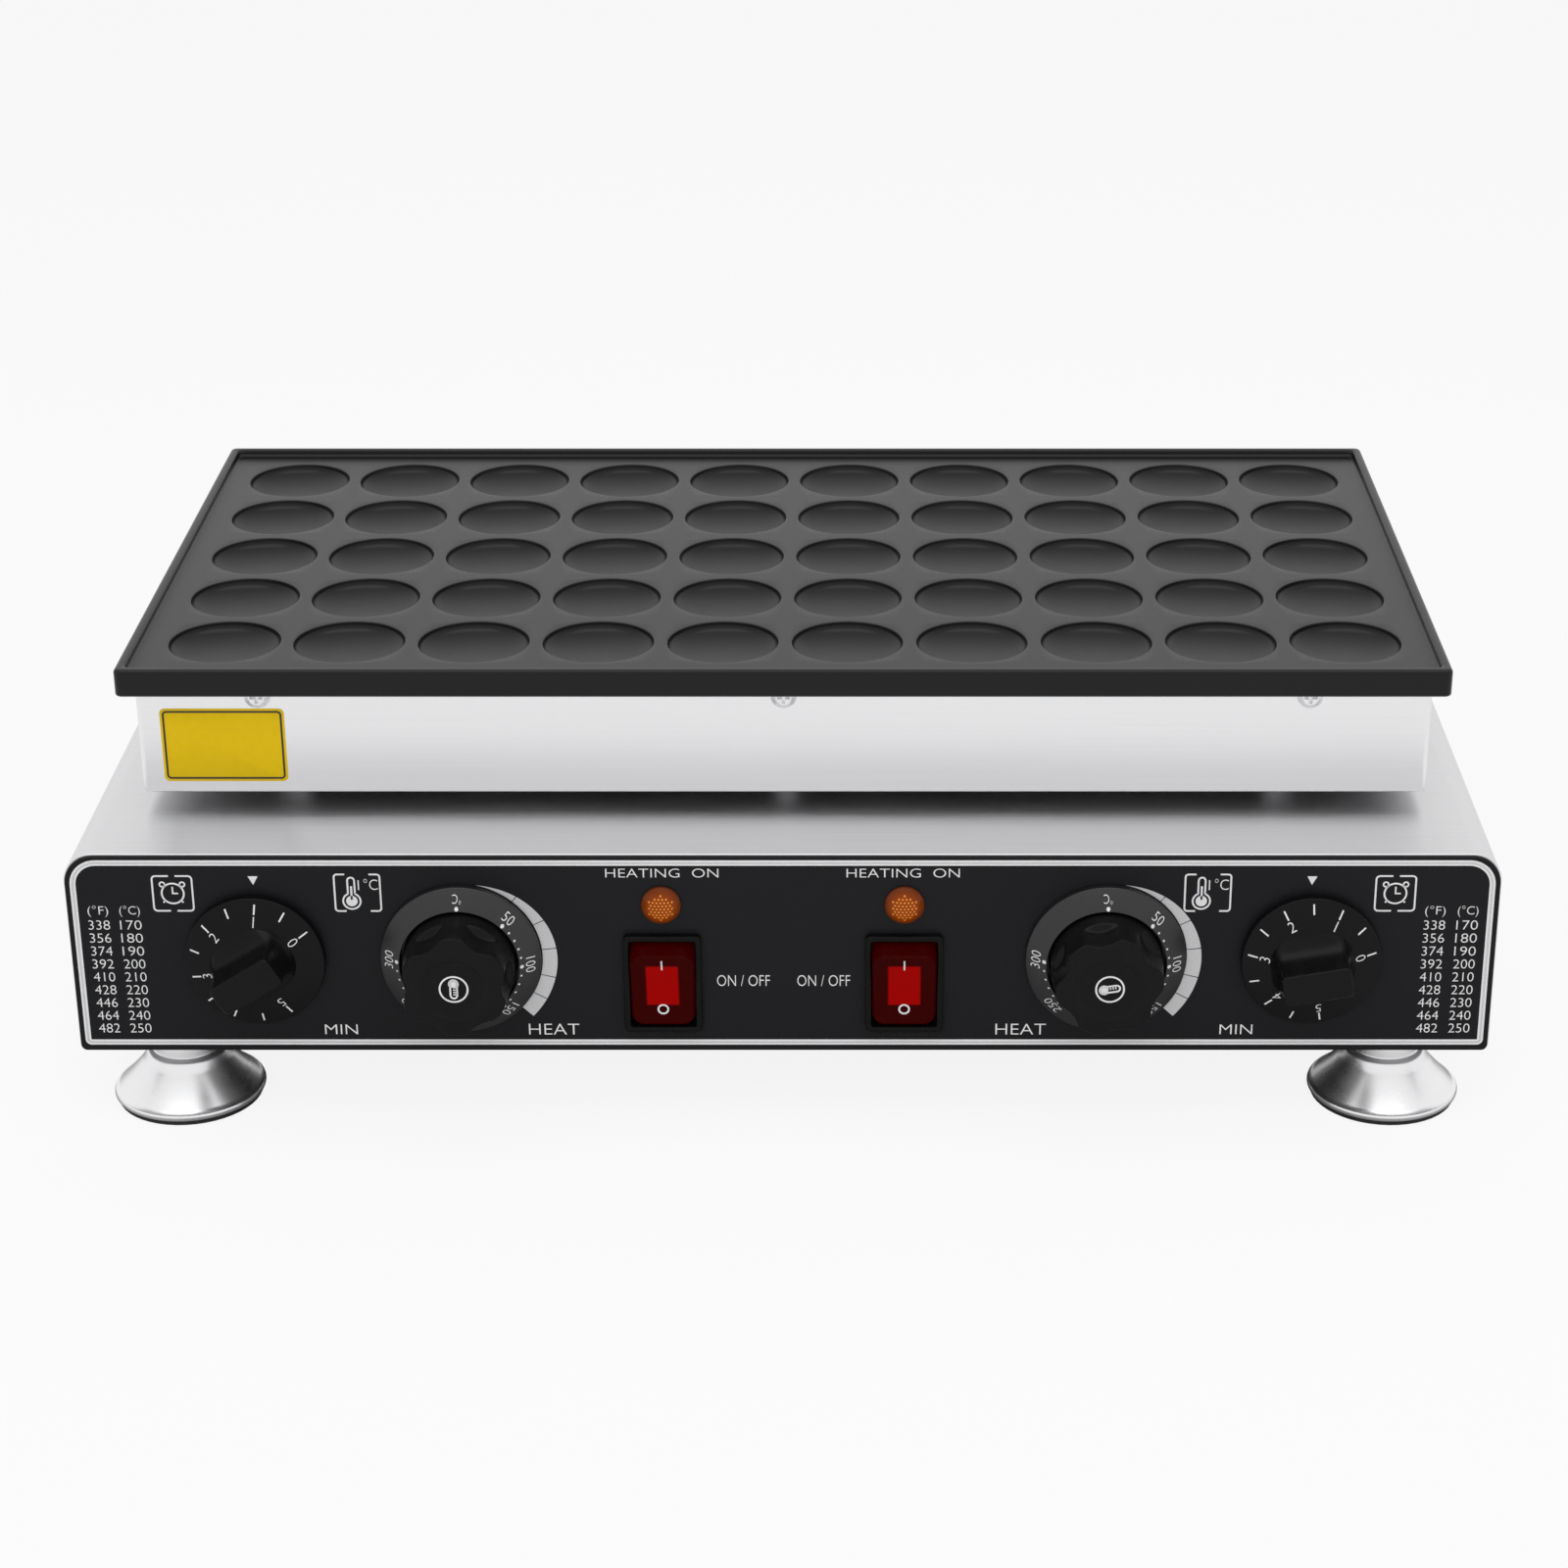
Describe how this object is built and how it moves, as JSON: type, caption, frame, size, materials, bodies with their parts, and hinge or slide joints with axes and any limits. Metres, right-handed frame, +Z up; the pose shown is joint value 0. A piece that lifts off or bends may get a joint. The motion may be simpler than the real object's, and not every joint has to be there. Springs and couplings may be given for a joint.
{
  "type": "electric mini pancake grill",
  "caption": "Countertop electric grill for mini pancakes: non-stick plate of round moulds on a heater box, over a flat steel base with timer dials, thermostat knobs, rocker switches and lamps.",
  "frame": {"origin": "on the table, under the middle of the whole machine with its knobs and cable gland", "axes": "+X to the right seen from the controls, +Y from the controls to the back, +Z up"},
  "size_m": [0.56, 0.41, 0.1792],
  "materials": {
    "steel_sheet": "brushed stainless sheet",
    "zinc_steel": "bright zinc plated",
    "foot_chrome": "polished chrome",
    "panel_black": "satin black, printed",
    "foot_rubber": "black rubber",
    "grommet_rubber": "heat-proof silicone",
    "ceramic_fibre": "pressed fibre board",
    "nonstick_plate": "dark semi-gloss non-stick coating on cast aluminium",
    "element_steel": "heat-darkened steel tube",
    "copper_tube": "plain copper",
    "phenolic": "moulded, heat-proof",
    "knob_black": "moulded, satin",
    "dial_black": "moulded, satin, printed",
    "switch_black": "moulded",
    "rocker_red": "clear red, lit from inside",
    "lens_amber": "clear amber",
    "gland_nylon": "black nylon",
    "block_ivory": "moulded",
    "stud_brass": "turned",
    "lead_silicone": "silicone sleeve"
  },
  "bodies": {
    "chassis": {"base_shell": "steel_sheet", "front_wall": "steel_sheet", "control_panel": "panel_black", "base_floor": "steel_sheet", "rear_wall": "steel_sheet", "case_screws": "zinc_steel", "foot_front_left": "foot_chrome", "foot_front_right": "foot_chrome", "foot_rear_left": "foot_chrome", "foot_rear_right": "foot_chrome", "foot_pads": "foot_rubber", "foot_bolts": "zinc_steel", "foot_nuts": "zinc_steel", "deck_spacers": "zinc_steel", "deck_screws": "zinc_steel", "deck_nuts": "zinc_steel", "wire_grommets": "grommet_rubber", "heater_box": "steel_sheet", "insulation_board": "ceramic_fibre", "baking_plate": "nonstick_plate", "plate_screws": "zinc_steel", "left_heating_element": "element_steel", "right_heating_element": "element_steel", "element_clamps": "zinc_steel", "clamp_screws": "zinc_steel", "left_capillary_sensor": "copper_tube", "right_capillary_sensor": "copper_tube", "left_thermostat": "phenolic", "right_thermostat": "phenolic", "left_scale_ring": "knob_black", "right_scale_ring": "knob_black", "thermostat_screws": "zinc_steel", "left_timer": "phenolic", "right_timer": "phenolic", "timer_screws": "zinc_steel", "left_switch_housing": "switch_black", "right_switch_housing": "switch_black", "left_lamp_lens": "lens_amber", "right_lamp_lens": "lens_amber", "left_lamp_body": "switch_black", "right_lamp_body": "switch_black", "cable_gland": "gland_nylon", "gland_locknut": "gland_nylon", "terminal_block": "block_ivory", "terminal_screws": "zinc_steel", "earth_stud": "stud_brass", "wiring_harness": "lead_silicone"},
    "left_timer_dial": {"left_timer_dial": "dial_black", "left_timer_shaft": "zinc_steel"},
    "right_timer_dial": {"right_timer_dial": "dial_black", "right_timer_shaft": "zinc_steel"},
    "left_thermostat_knob": {"left_thermostat_knob": "knob_black", "left_thermostat_shaft": "zinc_steel"},
    "right_thermostat_knob": {"right_thermostat_knob": "knob_black", "right_thermostat_shaft": "zinc_steel"},
    "left_rocker": {"left_rocker": "rocker_red"},
    "right_rocker": {"right_rocker": "rocker_red"}
  },
  "joints": [
    {"name": "left_timer_turn", "type": "hinge", "parent": "chassis", "child": "left_timer_dial", "pos_m": [-0.207, -0.176, 0.074], "axis": [0, 1, 0], "range_deg": [-58, 212]},
    {"name": "right_timer_turn", "type": "hinge", "parent": "chassis", "child": "right_timer_dial", "pos_m": [0.207, -0.176, 0.074], "axis": [0, 1, 0], "range_deg": [-80, 190]},
    {"name": "left_thermostat_turn", "type": "hinge", "parent": "chassis", "child": "left_thermostat_knob", "pos_m": [-0.1265, -0.176, 0.074], "axis": [0, 1, 0], "range_deg": [-180, 93]},
    {"name": "right_thermostat_turn", "type": "hinge", "parent": "chassis", "child": "right_thermostat_knob", "pos_m": [0.1265, -0.176, 0.074], "axis": [0, 1, 0], "range_deg": [-81, 192]},
    {"name": "left_rocker_tilt", "type": "hinge", "parent": "chassis", "child": "left_rocker", "pos_m": [-0.0475, -0.172, 0.063], "axis": [-1, 0, 0], "range_deg": [0, 20]},
    {"name": "right_rocker_tilt", "type": "hinge", "parent": "chassis", "child": "right_rocker", "pos_m": [0.0475, -0.172, 0.063], "axis": [-1, 0, 0], "range_deg": [0, 20]}
  ]
}
